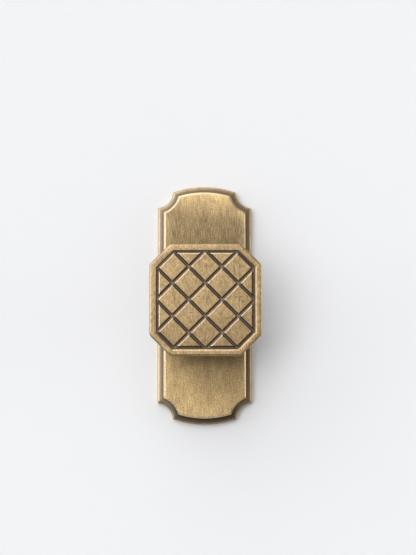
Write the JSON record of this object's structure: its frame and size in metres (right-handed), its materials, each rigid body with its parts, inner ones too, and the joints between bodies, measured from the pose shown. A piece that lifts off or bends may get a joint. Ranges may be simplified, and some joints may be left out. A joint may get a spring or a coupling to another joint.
{
  "type": "cabinet knob",
  "caption": "Antique brass cabinet knob: a cut-corner square head carved with a diamond grid, on a waisted stem over a tall notched backplate with arched ends.",
  "frame": {"origin": "middle of the backplate's back face, on the knob's axis", "axes": "+Z out of the door along the knob's axis, +Y along the length of the backplate, +X to the right of someone facing the door"},
  "size_m": [0.034, 0.076, 0.026],
  "materials": {
    "knob_brass": "aged brass with a mottled satin face and dark patina left in the grooves",
    "plate_brass": "aged brass brushed lengthwise, with dark patina left on the ledge round the panel"
  },
  "bodies": {
    "root": {"knob": "knob_brass", "backplate": "plate_brass"}
  },
  "joints": []
}
